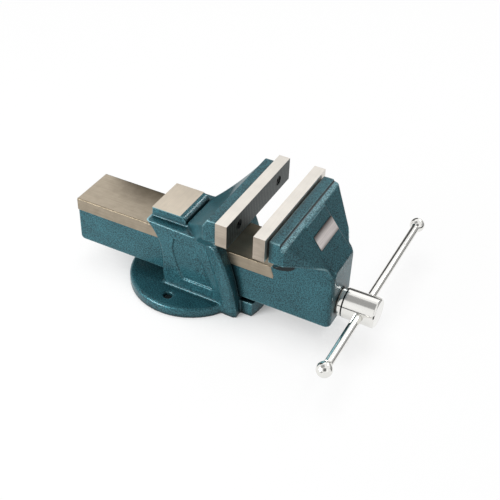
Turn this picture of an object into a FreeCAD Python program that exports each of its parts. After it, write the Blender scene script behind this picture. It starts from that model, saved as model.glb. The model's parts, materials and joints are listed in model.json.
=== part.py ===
"""Bench vise with a fixed base, 125 mm jaws, a hollow sliding bar and a screw with a tommy bar.

Millimetres. +X points from the static jaw towards the handle, +Z is up and Y = 0 is the plane of
symmetry. The origin lies on the underside of the base, midway between the two bench bolt holes.
"""
import FreeCAD, Part
import math
import os

V = FreeCAD.Vector

MARGIN = 1.0                 # how far a cutter passes the surface that it cuts

# Jaw plates
JAW_WIDTH = 125.0
PLATE_THICKNESS = 12.0
PLATE_HEIGHT = 23.2
JAW_RISE = 48.8              # height of the plates' top above the shoulder of the static body
PLATE_PROUD = 4.0            # height of the plates above the castings that carry them
PLATE_OVERHANG = 5.5         # length by which the plates pass the castings at each end
STATIC_FACE_X = 70.6         # gripping face of the static jaw
OPENING = 25.5               # gap between the jaw plates as the vise stands

# Jaw screws, countersunk with a hexagon socket
SCREW_SPACING = 78.0
SCREW_DIAMETER = 5.0
SCREW_HEAD_DIAMETER = 9.6
SCREW_SINK = 1.0             # depth of the screw head below the face of the plate
SCREW_GRIP = 14.0            # length of screw inside the casting
SCREW_SOCKET = 3.0           # hexagon socket across flats
SCREW_HOLE_CLEARANCE = 0.3
TAP_ALLOWANCE = 2.0          # depth of the tapped hole past the end of the screw

# Sliding bar
BAR_WIDTH = 50.3
BAR_BOTTOM = 20.8
BAR_REAR_X = -116.2
BAR_ROOF = 9.2
BAND_HEIGHT = 13.1           # ground guide band along each side
BAND_PROUD = 0.8             # height of the band above the painted side
BAND_END_GAP = 0.6           # from the upper end of the band to the face of the moving plate
BAND_END_SLANT = 4.4         # the cutter's run-out at the end of the band
BAR_EDGE = 0.6
BAR_CORNER = 4.0
SLIDE_CLEARANCE = 0.3

# Static body
BODY_WIDTH = 66.6            # across the walls at the bench
SHOULDER_REAR_WIDTH = 64.4   # across the walls at the rear end of the shoulder
SHOULDER_FRONT_WIDTH = 72.0  # across the walls at the front end of the shoulder
SHOULDER_Z = 80.2
TUNNEL_COVER = 10.0          # depth of the bar's top below the shoulder
BODY_REAR_TOP_X = -32.3
BODY_REAR_X = -14.0
BODY_REAR_BEND_Z = 40.0      # height above which the rear wall leans back under the anvil
FRONT_SETBACK = 3.3          # from the gripping face back to the foot of the body's front
FRONT_HOLLOW = 5.9           # how far the curved front lies back at half of its height
THROAT_SETBACK = 11.3        # from the back of the jaw plate to the throat
THROAT_DROP = 1.2            # depth of the throat below the shoulder
FRONT_STEP = 3.0             # upright foot of the front face
BODY_CORNER = 2.0
LIP_SECTIONS = 6
ANVIL_REAR_X = -30.3
ANVIL_LENGTH = 30.6
ANVIL_WIDTH = 45.2
ANVIL_EDGE_HEIGHT = 2.0
ANVIL_SPREAD = 0.8           # how far each side of the anvil spreads down to the shoulder
ANVIL_RISE = 9.3             # height of the anvil above the shoulder
ANVIL_BEVEL = 7.0
ANVIL_BEVEL_BULGE = 0.65     # 0.5 is a flat bevel
BODY_OVERLAP = 5.0           # depth by which the castings' parts run into each other
JAW_THICKNESS = 14.9         # depth of the static jaw casting behind its plate
JAW_CHAMFER = 4.3
JAW_CHAMFER_DROP = 7.0
JAW_END_HEIGHT = 22.5
WEB_GAP = 8.2                # distance from the anvil face to the foot of the web behind the jaw
WEB_FOOT_RISE = 4.8          # height of the web's foot above the shoulder
FLARE_HOLLOW = 2.5           # hollow of the flare between the jaw and the side walls
THROAT_ARCH_X = 11.5         # middle of the arch under the jaw, behind the plate
THROAT_ARCH_DROP = 5.5       # and below the end of the casting
THROAT_STEP = 6.0            # upright stretch below the arch
WEB_HOLLOW = 2.4
LIP_WIDTH = 15.5
LIP_STEP = 1.0               # step from the walls to the rear edge of the lips
LIP_FOOT_WIDTH = 68.6        # across the front edges of the lips at the bench
LIP_TOP_WIDTH = 78.4         # across the front edges of the lips at the throat
LIP_CORNER = 2.4             # chamfer along the front corners of the lips
PANEL_DEPTH = 1.6
PANEL_TOP_REAR = (-1.0, 69.0)     # corners of the recess in each side wall, in X and Z
PANEL_TOP_FRONT = (20.0, 68.5)
PANEL_FRONT_MIDDLE = (32.8, 46.0)
PANEL_FOOT_FRONT = (41.4, 24.5)
PANEL_FOOT_REAR = (8.2, 24.5)
PANEL_REAR_MIDDLE = (1.0, 42.0)
PANEL_REAR_END = (-2.9, 58.0)

# Base
BASE_INSET = 0.3             # how far the base ends inside the ends of the jaw plates
BASE_THICKNESS = 11.0
BASE_EDGE = 3.5
BOLT_SPACING = 94.0
BOLT_HOLE_DIAMETER = 9.0
FOOT_RADIUS = 82.8
FOOT_WIDTH = 48.8
FOOT_HEIGHT = 16.0
FOOT_OVERLAP = 20.0          # length of the foot inside the body
UNDERSIDE_RADIUS = 36.0
UNDERSIDE_DEPTH = 4.0

# Moving jaw
MOVING_JAW_LENGTH = 50.1     # from the back of its plate to its front face
LEDGE_LENGTH = 10.6
LEDGE_STEP = 1.6
WING_START = 16.1            # from the back of the plate to the top of the wings
WING_SLOPE = 1.3
WING_STEP = 1.0              # height of the hollow edge between the ledge and the wings
RIB_WIDTH = 39.0
RIB_START = 18.5             # from the back of the plate to the top of the rib
RIB_FOOT_RISE = 4.0          # height of the rib's foot above the foot of the wings
RIB_HOLLOW = 1.4             # sag of the rib's curved face
RIB_TOP_DROP = 0.4           # drop of the rib's upper end below the ledge
RIB_OVERLAP = 4.0            # length of the rib inside the ledge
NECK_RISE = 16.2             # height above the bar at which the flare meets the neck
NECK_STRAIGHT = 1.5          # straight end of the wings at the front face
NECK_HOLLOW = 1.5            # hollow of the flare under the wings
TAPER_START = 14.6           # from the back of the plate to where the jaw narrows
FRONT_CORNER = 5.5
FRONT_WALL = 12.0
HEEL_RADIUS = 10.5
HEEL_ROOT = 3.0              # depth of the heel inside the bar

# Nameplate on the rib
NAMEPLATE_WIDTH = 37.6
NAMEPLATE_LENGTH = 14.2
NAMEPLATE_THICKNESS = 0.8
NAMEPLATE_FILM = 0.1         # film of glue under the nameplate
NAMEPLATE_START = 11.6       # distance of its upper edge down the rib

# Spindle
SPINDLE_Z = 37.0
SPINDLE_DIAMETER = 20.0
SPINDLE_REAR_X = -85.0
SPINDLE_CHAMFER = 1.5
SPINDLE_CLEARANCE = 0.08
HEAD_DIAMETER = 29.2
HEAD_LENGTH = 36.0
HEAD_CHAMFER = 1.4
HEAD_SOCKET_DEPTH = 12.0
HEAD_PIN_DIAMETER = 5.0
HEAD_PIN_OFFSET = 6.0
HEAD_PIN_RECESS = 0.6        # depth of the pin's end below the head's surface
HEAD_PIN_END_GAP = 1.0       # metal left above the pin in the screw
THRUST_WASHER_DIAMETER = 26.0
THRUST_WASHER_THICKNESS = 1.3
THRUST_CLEARANCE = 0.3

# Take-up spring and its washers behind the front wall
RETAINER_WASHER_GAP = 0.85   # between the washers and the walls of the channel
RETAINER_WASHER_THICKNESS = 2.0
SPRING_WIRE = 2.6
SPRING_TURNS = 4.0
SPRING_LENGTH = 20.0
SPRING_CLEARANCE = 0.5
COTTER_DIAMETER = 4.0
COTTER_LENGTH = 28.0

# Spindle nut
NUT_X = 9.0
NUT_LENGTH = 42.0
NUT_WIDTH = 30.0
NUT_SIDE_GAP = 0.35          # between the nut and the walls of the channel in the bar
NUT_EDGE = 5.0
NUT_CLAMP_GAP = 1.0          # gap between the stem and its washer, so that the bolt clamps
STEM_DIAMETER = 22.0
STEM_END_Z = 11.0
NUT_BOLT_DIAMETER = 8.0
NUT_BOLT_REACH = 13.0
NUT_BOLT_END_GAP = 0.5       # depth of the threaded hole past the end of the bolt
NUT_BOLT_HEAD = 13.0         # across flats
NUT_BOLT_HEAD_HEIGHT = 5.3
NUT_WASHER_DIAMETER = 30.0
NUT_WASHER_THICKNESS = 2.5
NUT_WELL_CLEARANCE = 1.5
NUT_PIN_DIAMETER = 5.0
NUT_PIN_SPACING = 32.0
NUT_PIN_DEPTH = 6.0
NUT_PIN_GRIP = 4.5

# Handle
HANDLE_DIAMETER = 8.6
HANDLE_BALL_SPACING = 235.0
HANDLE_OFFSET = 29.0         # how far the bar has slid through the head
HANDLE_PLACE = 21.2          # from the rear of the head to the middle of its cross hole
HANDLE_CLEARANCE = 0.09
BALL_DIAMETER = 15.0
BALL_SPIGOT_DIAMETER = 6.0
BALL_SPIGOT_LENGTH = 8.0
BALL_FLAT = 0.7              # depth of the flat on a ball where the bar meets it

# Places that follow from the sizes above
BASE_RADIUS = JAW_WIDTH / 2 - BASE_INSET
BAR_TOP = SHOULDER_Z - TUNNEL_COVER
ANVIL_Z = SHOULDER_Z + ANVIL_RISE
THROAT_Z = SHOULDER_Z - THROAT_DROP
WEB_FOOT_Z = SHOULDER_Z + WEB_FOOT_RISE
PLATE_TOP = SHOULDER_Z + JAW_RISE
PLATE_BOTTOM = PLATE_TOP - PLATE_HEIGHT
SCREW_Z = (PLATE_TOP + PLATE_BOTTOM) / 2
CASTING_TOP = PLATE_TOP - PLATE_PROUD
CASTING_HALF = JAW_WIDTH / 2 - PLATE_OVERHANG
STATIC_BACK_X = STATIC_FACE_X - PLATE_THICKNESS
MOVING_FACE_X = STATIC_FACE_X + OPENING
MOVING_BACK_X = MOVING_FACE_X + PLATE_THICKNESS
BODY_FRONT_X = STATIC_FACE_X - FRONT_SETBACK
BODY_FRONT_MIDDLE_X = BODY_FRONT_X - FRONT_HOLLOW
THROAT_X = STATIC_BACK_X - THROAT_SETBACK
JAW_FRONT_X = MOVING_BACK_X + MOVING_JAW_LENGTH
WING_X = MOVING_BACK_X + WING_START
RIB_X = MOVING_BACK_X + RIB_START
TAPER_X = MOVING_BACK_X + TAPER_START
BAND_BOTTOM = BAR_TOP - BAND_HEIGHT
TUNNEL_FLOOR = BAR_BOTTOM - SLIDE_CLEARANCE
TUNNEL_ROOF = BAR_TOP + SLIDE_CLEARANCE
TUNNEL_WIDTH = BAR_WIDTH + 2 * SLIDE_CLEARANCE
PAINTED_HALF = BAR_WIDTH / 2 - BAND_PROUD
BAND_END_X = MOVING_FACE_X - BAND_END_GAP
CHANNEL_WIDTH = NUT_WIDTH + 2 * NUT_SIDE_GAP
RETAINER_WASHER_DIAMETER = CHANNEL_WIDTH - 2 * RETAINER_WASHER_GAP
CHANNEL_ROOF = BAR_TOP - BAR_ROOF
CHANNEL_FRONT_X = JAW_FRONT_X - FRONT_WALL
THRUST_X = JAW_FRONT_X + THRUST_CLEARANCE
HEAD_X = THRUST_X + THRUST_WASHER_THICKNESS
HEAD_FRONT_X = HEAD_X + HEAD_LENGTH
INNER_WASHER_X = CHANNEL_FRONT_X - THRUST_CLEARANCE - RETAINER_WASHER_THICKNESS
SPRING_X = INNER_WASHER_X - SPRING_LENGTH
OUTER_WASHER_X = SPRING_X - RETAINER_WASHER_THICKNESS
COTTER_X = OUTER_WASHER_X - COTTER_DIAMETER / 2
SPINDLE_BORE = SPINDLE_DIAMETER + 2 * SPINDLE_CLEARANCE
NUT_MIDDLE_X = NUT_X + NUT_LENGTH / 2
WELL_CEILING = STEM_END_Z - NUT_CLAMP_GAP
HEAD_ROOT_Z = BAR_TOP - BODY_OVERLAP
LEDGE_Z = CASTING_TOP - LEDGE_STEP
WING_FOOT_Z = LEDGE_Z - WING_STEP - WING_SLOPE * (JAW_FRONT_X - WING_X)
RIB_FOOT_Z = WING_FOOT_Z + RIB_FOOT_RISE
NECK_Z = BAR_TOP + NECK_RISE
NUT_TOP = (SPINDLE_Z + SPINDLE_DIAMETER / 2 + CHANNEL_ROOF) / 2
HANDLE_X = HEAD_X + HANDLE_PLACE


def box(x0, x1, half_width, z0, z1):
    """Block from x0 to x1 and z0 to z1, centred on the plane of symmetry."""
    return Part.makeBox(x1 - x0, 2 * half_width, z1 - z0, V(x0, -half_width, z0))


def rod(x0, x1, diameter, y=0.0, z=SPINDLE_Z):
    """Cylinder along X."""
    return Part.makeCylinder(diameter / 2, x1 - x0, V(x0, y, z), V(1, 0, 0))


def post(x, y, z0, z1, diameter):
    """Cylinder along Z."""
    return Part.makeCylinder(diameter / 2, z1 - z0, V(x, y, z0), V(0, 0, 1))


def ring(x0, thickness, diameter, bore):
    """Flat washer around the spindle axis."""
    return rod(x0, x0 + thickness, diameter).cut(rod(x0, x0 + thickness, bore))


def outline(plane, start, *steps):
    """Closed face in plane "xz", "yz" or "xy". A step is an end point, or (through, end) for an arc."""
    place = {"xz": lambda p: V(p[0], 0, p[1]), "yz": lambda p: V(0, p[0], p[1]),
             "xy": lambda p: V(p[0], p[1], 0)}[plane]
    edges = []
    here = start
    for step in steps + (start,):
        if isinstance(step[0], tuple):
            through, end = step
            edges.append(Part.Arc(place(here), place(through), place(end)).toShape())
        else:
            end = step
            edges.append(Part.LineSegment(place(here), place(end)).toShape())
        here = end
    return Part.Face(Part.Wire(edges))


def across(face, half_width):
    """Solid swept along Y from a face in the XZ plane, to both sides."""
    solid = face.extrude(V(0, 2 * half_width, 0))
    solid.translate(V(0, -half_width, 0))
    return solid


def along(face, x0, x1):
    """Solid swept along X from a face in the YZ plane."""
    solid = face.extrude(V(x1 - x0, 0, 0))
    solid.translate(V(x0, 0, 0))
    return solid


def upward(face, z0, z1):
    """Solid swept along Z from a face in the XY plane."""
    solid = face.extrude(V(0, 0, z1 - z0))
    solid.translate(V(0, 0, z0))
    return solid


def edges_where(shape, test):
    """Edges of a shape whose midpoint passes a test."""
    return [edge for edge in shape.Edges
            if test(edge.valueAt((edge.FirstParameter + edge.LastParameter) / 2))]


def both_sides(points, flip_y=False):
    """Profile mirrored about its first axis, or its second with flip_y, from the points of one half."""
    def flip(point):
        return (point[0], -point[1]) if flip_y else (-point[0], point[1])
    here = points[0]
    stretches = []
    for step in points[1:]:
        stretches.append((here, step))
        here = step[1] if isinstance(step[0], tuple) else step
    mirrored = [(flip(step[0]), flip(before)) if isinstance(step[0], tuple) else flip(before)
                for before, step in reversed(stretches)]
    return points[0], points[1:] + [flip(here)] + mirrored


def jaw_front_view(foot_half, foot_z, hollow, bottom):
    """Front view of a jaw casting: full width at the plate, and an arched flare down to its neck."""
    tip_z = CASTING_TOP - JAW_END_HEIGHT
    middle = ((CASTING_HALF + foot_half) / 2 - hollow / 2, (tip_z + foot_z) / 2 + hollow)
    start, steps = both_sides([(CASTING_HALF, CASTING_TOP), (CASTING_HALF, tip_z),
                               (middle, (foot_half, foot_z)), (foot_half, bottom)])
    return outline("yz", start, *steps)


def screw_axis_places(back_x):
    """Centres of the two jaw screws on the back of a jaw plate."""
    return [V(back_x, side * SCREW_SPACING / 2, SCREW_Z) for side in (-1, 1)]


def jaw_plate(face_x, back_x):
    """Hardened jaw plate with two countersunk screw holes."""
    plate = box(min(face_x, back_x), max(face_x, back_x), JAW_WIDTH / 2, PLATE_BOTTOM, PLATE_TOP)
    inward = V(1, 0, 0) if back_x > face_x else V(-1, 0, 0)
    head_radius = SCREW_HEAD_DIAMETER / 2
    hole_radius = SCREW_DIAMETER / 2 + SCREW_HOLE_CLEARANCE
    cone_depth = head_radius - hole_radius
    for place in screw_axis_places(face_x):
        sunk = place + inward * SCREW_SINK
        plate = plate.cut(Part.makeCylinder(hole_radius, PLATE_THICKNESS, place, inward))
        plate = plate.cut(Part.makeCylinder(head_radius, SCREW_SINK, place, inward))
        plate = plate.cut(Part.makeCone(head_radius, hole_radius, cone_depth, sunk, inward))
    return plate


def hexagon(centre, axis, across_flats, depth):
    """Hexagonal prism from a centre point along an axis."""
    radius = across_flats / math.sqrt(3)
    corners = [V(radius * math.cos(math.radians(a)), radius * math.sin(math.radians(a)), 0)
               for a in range(0, 361, 60)]
    prism = Part.Face(Part.makePolygon(corners)).extrude(V(0, 0, depth))
    prism.Placement = FreeCAD.Placement(centre, FreeCAD.Rotation(V(0, 0, 1), axis))
    return prism


def jaw_screws(face_x, back_x):
    """The two countersunk screws of one jaw plate."""
    inward = V(1, 0, 0) if back_x > face_x else V(-1, 0, 0)
    head_radius = SCREW_HEAD_DIAMETER / 2
    shank_radius = SCREW_DIAMETER / 2
    cone_depth = head_radius - shank_radius - SCREW_HOLE_CLEARANCE
    screws = []
    for place in screw_axis_places(face_x):
        top = place + inward * SCREW_SINK
        screw = Part.makeCone(head_radius, shank_radius + SCREW_HOLE_CLEARANCE, cone_depth, top, inward)
        shank_length = PLATE_THICKNESS - SCREW_SINK + SCREW_GRIP
        screw = screw.fuse(Part.makeCylinder(shank_radius, shank_length, top, inward))
        screws.append(screw.cut(hexagon(top, inward, SCREW_SOCKET, cone_depth)))
    return Part.makeCompound(screws)


def tap_jaw_screws(casting, back_x, inward_x):
    """Cuts the two tapped holes for the jaw screws into a casting."""
    for place in screw_axis_places(back_x):
        hole = Part.makeCylinder(SCREW_DIAMETER / 2, SCREW_GRIP + TAP_ALLOWANCE, place, V(inward_x, 0, 0))
        casting = casting.cut(hole)
    return casting


def body_side_view():
    """Side view of the static body below its shoulder."""
    rise = SHOULDER_Z - BODY_REAR_BEND_Z
    run = BODY_REAR_X - BODY_REAR_TOP_X
    radius = (rise * rise + run * run) / (2 * run)
    half_turn = math.asin(rise / radius) / 2
    rear_middle = (BODY_REAR_X - radius * (1 - math.cos(half_turn)),
                   BODY_REAR_BEND_Z + radius * math.sin(half_turn))
    return outline(
        "xz", (BODY_FRONT_X, 0), (BODY_FRONT_X, FRONT_STEP), (front_middle(), (THROAT_X, THROAT_Z)),
        (THROAT_X, SHOULDER_Z), (BODY_REAR_TOP_X, SHOULDER_Z),
        (rear_middle, (BODY_REAR_X, BODY_REAR_BEND_Z)), (BODY_REAR_X, 0))


def front_middle():
    """Middle of the curved front edge of the side walls."""
    return (BODY_FRONT_MIDDLE_X, THROAT_Z / 2)


def front_x(z):
    """Place of the curved front face at a height."""
    middle_x, middle_z = front_middle()
    arc = Part.Arc(V(BODY_FRONT_X, 0, FRONT_STEP), V(middle_x, 0, middle_z), V(THROAT_X, 0, THROAT_Z))
    centre, radius = arc.toShape().Curve.Center, arc.toShape().Curve.Radius
    return centre.x + math.sqrt(radius * radius - (max(z, FRONT_STEP) - centre.z) ** 2)


def wall_half(x, z):
    """Half of the width across the side walls at a place."""
    share = (x - BODY_REAR_TOP_X) / (BODY_FRONT_X - BODY_REAR_TOP_X)
    top_width = SHOULDER_REAR_WIDTH + (SHOULDER_FRONT_WIDTH - SHOULDER_REAR_WIDTH) * share
    return (BODY_WIDTH + (top_width - BODY_WIDTH) * z / SHOULDER_Z) / 2


def between_walls(inset=0.0):
    """Space between the outer faces of the side walls, which spread towards the shoulder and the front."""
    sections = []
    for z in (0, SHOULDER_Z):
        corners = [V(x, wall_half(x, z) - inset, z) for x in (BODY_REAR_TOP_X, BODY_FRONT_X)]
        sections.append(mirrored_section(corners))
    return Part.makeLoft(sections, True, True)


def mirrored_section(corners):
    """Closed wire through corners on the +Y side and their mirror images."""
    others = [V(p.x, -p.y, p.z) for p in reversed(corners)]
    return Part.makePolygon(corners + others + corners[:1])


def body_column():
    """Side walls of the static body, from the bench to the shoulder below the jaw."""
    column = across(body_side_view(), SHOULDER_FRONT_WIDTH).common(between_walls())
    rear_corners = edges_where(column, lambda p: p.x < BODY_REAR_X + 1 and 1 < p.z < SHOULDER_Z - 1
                               and abs(p.y) > wall_half(p.x, p.z) - 1)
    return column.makeFillet(BODY_CORNER, rear_corners)


def front_lips():
    """Lips along the front edge of both side walls, which spread as they rise to the jaw."""
    sections = []
    for step in range(LIP_SECTIONS + 1):
        z = THROAT_Z * step / LIP_SECTIONS
        edge_x = front_x(z)
        rear_x = edge_x - LIP_WIDTH
        half = (LIP_FOOT_WIDTH + (LIP_TOP_WIDTH - LIP_FOOT_WIDTH) * step / LIP_SECTIONS) / 2
        sections.append(mirrored_section([
            V(rear_x, wall_half(rear_x, z) + LIP_STEP, z), V(edge_x - LIP_CORNER, half, z),
            V(edge_x, half - LIP_CORNER, z), V(BODY_FRONT_X + 1, half - LIP_CORNER, z)]))
    return Part.makeLoft(sections, True, True).common(across(body_side_view(), LIP_TOP_WIDTH))


def base_disc():
    """Round base flange with a rounded rim and the front foot."""
    disc = post(0, 0, 0, BASE_THICKNESS, 2 * BASE_RADIUS)
    disc = disc.makeFillet(BASE_EDGE, edges_where(disc, lambda p: p.z > BASE_THICKNESS - 0.1))
    foot = post(0, 0, 0, FOOT_HEIGHT, 2 * FOOT_RADIUS).common(
        box(BODY_FRONT_X - FOOT_OVERLAP, FOOT_RADIUS, FOOT_WIDTH / 2, 0, FOOT_HEIGHT))
    return disc.fuse(foot)


def anvil():
    """Ground anvil face with the painted bevel that drops to the jaw."""
    front_x = ANVIL_REAR_X + ANVIL_LENGTH
    foot_x = front_x + 2 * ANVIL_BEVEL
    foot_z = SHOULDER_Z - BODY_OVERLAP
    bevel_middle = (front_x + ANVIL_BEVEL * ANVIL_BEVEL_BULGE,
                    ANVIL_Z - ANVIL_BEVEL * (1 - ANVIL_BEVEL_BULGE))
    side = outline("xz", (ANVIL_REAR_X, foot_z), (ANVIL_REAR_X, ANVIL_Z), (front_x, ANVIL_Z),
                   (bevel_middle, (front_x + ANVIL_BEVEL, ANVIL_Z - ANVIL_BEVEL)), (foot_x, foot_z))
    half = ANVIL_WIDTH / 2
    start, steps = both_sides([(half, ANVIL_Z), (half, ANVIL_Z - ANVIL_EDGE_HEIGHT),
                               (half + ANVIL_SPREAD, SHOULDER_Z), (half + ANVIL_SPREAD, foot_z)])
    return across(side, BODY_WIDTH / 2).common(along(outline("yz", start, *steps), ANVIL_REAR_X, foot_x))


def static_jaw():
    """Static jaw casting: the common part of its side, front and plan views."""
    web_x = ANVIL_REAR_X + ANVIL_LENGTH + WEB_GAP
    end_x = STATIC_BACK_X - JAW_THICKNESS
    end_z = CASTING_TOP - JAW_CHAMFER_DROP
    web_middle = ((web_x + end_x) / 2, (WEB_FOOT_Z + end_z) / 2 - WEB_HOLLOW)
    tip = (STATIC_BACK_X, CASTING_TOP - JAW_END_HEIGHT)
    side = outline(
        "xz", (STATIC_BACK_X, CASTING_TOP), tip,
        ((STATIC_BACK_X - THROAT_ARCH_X, tip[1] - THROAT_ARCH_DROP), (THROAT_X, THROAT_Z + THROAT_STEP)),
        (THROAT_X, THROAT_Z), (web_x, THROAT_Z), (web_x, WEB_FOOT_Z),
        (web_middle, (end_x, end_z)), (end_x + JAW_CHAMFER, CASTING_TOP))
    plan_middle = ((web_x + end_x) / 2, (ANVIL_WIDTH / 2 + CASTING_HALF) / 2 - WEB_HOLLOW)
    start, steps = both_sides([(STATIC_BACK_X, CASTING_HALF), (end_x, CASTING_HALF),
                               (plan_middle, (web_x, ANVIL_WIDTH / 2))], flip_y=True)
    plan = outline("xy", start, *steps)
    front = jaw_front_view(LIP_TOP_WIDTH / 2 - LIP_CORNER, THROAT_Z, FLARE_HOLLOW, THROAT_Z - BODY_OVERLAP)
    jaw = across(side, JAW_WIDTH / 2).common(upward(plan, THROAT_Z - BODY_OVERLAP, PLATE_TOP))
    return jaw.common(along(front, web_x, STATIC_BACK_X))


def side_panels():
    """Shallow recesses in both side walls of the static body."""
    face = outline("xz", PANEL_TOP_REAR, PANEL_TOP_FRONT, (PANEL_FRONT_MIDDLE, PANEL_FOOT_FRONT),
                   PANEL_FOOT_REAR, (PANEL_REAR_MIDDLE, PANEL_REAR_END))
    return across(face, SHOULDER_FRONT_WIDTH).cut(between_walls(PANEL_DEPTH))


def nut_well():
    """Bores in the base for the stem of the nut, its washer, its bolt and its locating pins."""
    well = post(NUT_MIDDLE_X, 0, -MARGIN, WELL_CEILING, NUT_WASHER_DIAMETER + 2 * NUT_WELL_CLEARANCE)
    well = well.fuse(post(NUT_MIDDLE_X, 0, WELL_CEILING - MARGIN, TUNNEL_FLOOR + MARGIN, STEM_DIAMETER))
    pin_foot = TUNNEL_FLOOR - NUT_PIN_DEPTH
    for place in nut_pin_places():
        well = well.fuse(post(place.x, 0, pin_foot, TUNNEL_FLOOR + MARGIN, NUT_PIN_DIAMETER))
    return well


def static_body():
    """Cast body with its base, anvil, jaw, tunnel for the bar and bolt holes."""
    body = body_column().fuse([front_lips(), static_jaw(), base_disc(), anvil()]).removeSplitter()
    body = body.cut(box(BODY_REAR_TOP_X - MARGIN, FOOT_RADIUS + MARGIN, TUNNEL_WIDTH / 2,
                        TUNNEL_FLOOR, TUNNEL_ROOF))
    body = body.cut(side_panels())
    for y in (-BOLT_SPACING / 2, BOLT_SPACING / 2):
        body = body.cut(post(0, y, -MARGIN, BASE_THICKNESS + MARGIN, BOLT_HOLE_DIAMETER))
    body = body.cut(post(0, 0, 0, UNDERSIDE_DEPTH, 2 * UNDERSIDE_RADIUS))
    body = body.cut(nut_well())
    return tap_jaw_screws(body, STATIC_BACK_X, -1)


def rib_sag_point():
    """Middle of the curved face of the centre rib."""
    top = (RIB_X, LEDGE_Z - WING_STEP)
    foot = (JAW_FRONT_X, RIB_FOOT_Z)
    length = math.hypot(foot[0] - top[0], foot[1] - top[1])
    sag = RIB_HOLLOW / length
    middle = ((top[0] + foot[0]) / 2 - (top[1] - foot[1]) * sag,
              (top[1] + foot[1]) / 2 - (foot[0] - top[0]) * sag)
    return top, middle, foot


def moving_jaw_head():
    """Upper part of the moving jaw: ledges, wings and the raised centre rib."""
    ledge_x = MOVING_BACK_X + LEDGE_LENGTH
    side = outline(
        "xz", (MOVING_BACK_X, CASTING_TOP), (ledge_x, CASTING_TOP), (ledge_x, LEDGE_Z),
        (WING_X, LEDGE_Z - WING_STEP), (JAW_FRONT_X, WING_FOOT_Z), (JAW_FRONT_X, HEAD_ROOT_Z),
        (MOVING_BACK_X, HEAD_ROOT_Z))
    start, steps = both_sides(
        [(MOVING_BACK_X, CASTING_HALF), (TAPER_X, CASTING_HALF),
         (JAW_FRONT_X - NECK_STRAIGHT, PAINTED_HALF), (JAW_FRONT_X, PAINTED_HALF)], flip_y=True)
    plan = outline("xy", start, *steps)
    front = jaw_front_view(PAINTED_HALF, NECK_Z, NECK_HOLLOW, HEAD_ROOT_Z)
    head = across(side, JAW_WIDTH / 2).common(upward(plan, HEAD_ROOT_Z, PLATE_TOP))
    head = head.common(along(front, MOVING_BACK_X, JAW_FRONT_X))
    top, middle, foot = rib_sag_point()
    rib_x = WING_X - RIB_OVERLAP
    rib = outline("xz", (rib_x, LEDGE_Z - RIB_TOP_DROP), top, (middle, foot), (JAW_FRONT_X, HEAD_ROOT_Z),
                  (rib_x, HEAD_ROOT_Z))
    return head.fuse(across(rib, RIB_WIDTH / 2))


def heel():
    """Hollow fillet between the top of the bar and the back of the moving jaw."""
    rear_x = MOVING_BACK_X - HEEL_RADIUS
    sag = HEEL_RADIUS * (1 - math.sqrt(0.5))
    return across(outline(
        "xz", (MOVING_BACK_X + MARGIN, BAR_TOP - HEEL_ROOT), (rear_x, BAR_TOP - HEEL_ROOT), (rear_x, BAR_TOP),
        ((MOVING_BACK_X - sag, BAR_TOP + sag), (MOVING_BACK_X, BAR_TOP + HEEL_RADIUS)),
        (MOVING_BACK_X + MARGIN, BAR_TOP + HEEL_RADIUS)), PAINTED_HALF)


def moving_jaw():
    """Moving jaw casting in one piece with its hollow sliding bar."""
    band = across(outline("xz", (BAR_REAR_X, BAND_BOTTOM), (BAR_REAR_X, BAR_TOP), (BAND_END_X, BAR_TOP),
                          (BAND_END_X + BAND_END_SLANT, BAND_BOTTOM)), BAR_WIDTH / 2)
    band = band.makeChamfer(BAR_EDGE, edges_where(band, lambda p: p.z > BAR_TOP - 0.1
                                                  and abs(p.y) > PAINTED_HALF))
    bar = box(BAR_REAR_X, JAW_FRONT_X, PAINTED_HALF, BAR_BOTTOM, BAR_TOP)
    bar = bar.makeFillet(BAR_CORNER, edges_where(bar, lambda p: p.x < BAR_REAR_X + 0.1
                                                 and p.z < BAR_BOTTOM + 0.1))
    jaw = bar.fuse([band, heel(), moving_jaw_head()]).removeSplitter()
    corners = edges_where(jaw, lambda p: abs(p.x - JAW_FRONT_X) < 0.1 and abs(abs(p.y) - PAINTED_HALF) < 0.1
                          and p.z > BAR_BOTTOM + MARGIN)
    jaw = jaw.makeFillet(FRONT_CORNER, corners)
    jaw = jaw.cut(box(BAR_REAR_X - MARGIN, CHANNEL_FRONT_X, CHANNEL_WIDTH / 2,
                      BAR_BOTTOM - MARGIN, CHANNEL_ROOF))
    jaw = jaw.cut(rod(CHANNEL_FRONT_X - MARGIN, JAW_FRONT_X + MARGIN, SPINDLE_BORE))
    return tap_jaw_screws(jaw, MOVING_BACK_X, 1)


def nameplate():
    """Bare nameplate, curved to lie on the rib."""
    top, middle, foot = rib_sag_point()
    edge = Part.Arc(V(top[0], 0, top[1]), V(middle[0], 0, middle[1]), V(foot[0], 0, foot[1])).toShape()
    places = [edge.valueAt(edge.getParameterByLength(NAMEPLATE_START + NAMEPLATE_LENGTH * share))
              for share in (0.0, 0.5, 1.0)]
    centre = edge.Curve.Center
    lifted = [place + (centre - place).normalize() * height
              for height in (NAMEPLATE_FILM, NAMEPLATE_FILM + NAMEPLATE_THICKNESS) for place in places]
    flat = [(p.x, p.z) for p in lifted]
    face = outline("xz", flat[0], (flat[1], flat[2]), flat[5], (flat[4], flat[3]))
    return across(face, NAMEPLATE_WIDTH / 2)


def spindle_screw():
    """Screw of the vise, with the plain end that the head is pinned to."""
    screw = rod(SPINDLE_REAR_X, HEAD_X + HEAD_SOCKET_DEPTH, SPINDLE_DIAMETER)
    screw = screw.makeChamfer(SPINDLE_CHAMFER, edges_where(screw, lambda p: p.x < SPINDLE_REAR_X + 0.1))
    return screw.cut(retaining_pin()).cut(head_pin())


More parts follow.
